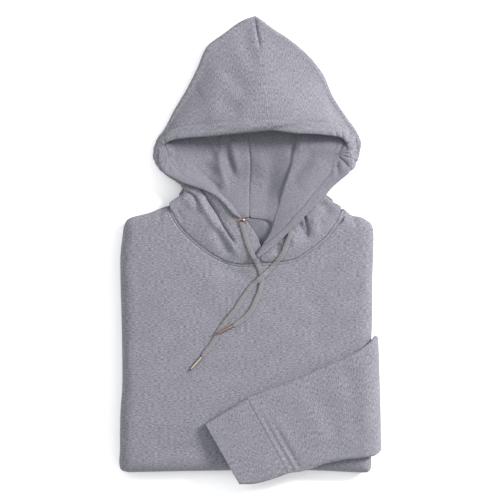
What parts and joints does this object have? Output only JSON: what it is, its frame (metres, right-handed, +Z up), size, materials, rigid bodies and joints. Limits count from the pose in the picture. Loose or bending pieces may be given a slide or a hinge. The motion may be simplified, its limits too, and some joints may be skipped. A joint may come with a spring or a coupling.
{
  "type": "folded pullover hoodie",
  "caption": "Heather grey fleece pullover hoodie folded for display: hood spread open with flat drawcords, one long sleeve laid across the lower front to its cuff.",
  "frame": {"origin": "centre of the garment's outline on the surface it lies on", "axes": "+Z up out of the surface, +Y towards the peak of the hood, +X towards the sleeve's fold"},
  "size_m": [0.3418, 0.6091, 0.0439],
  "materials": {
    "fleece": "matte",
    "lining": "matte",
    "cord": "matte",
    "copper": "polished",
    "gold": "polished"
  },
  "bodies": {
    "root": {"folded_layers": "fleece", "front": "fleece", "hood_left": "fleece", "hood_right": "fleece", "lining_left": "lining", "lining_right": "lining", "back_neck": "lining", "sleeve": "fleece", "cuff": "fleece", "eyelet_left": "copper", "eyelet_right": "copper", "drawcord_left": "cord", "drawcord_right": "cord", "aglet_left": "copper", "aglet_right": "gold"}
  },
  "joints": []
}
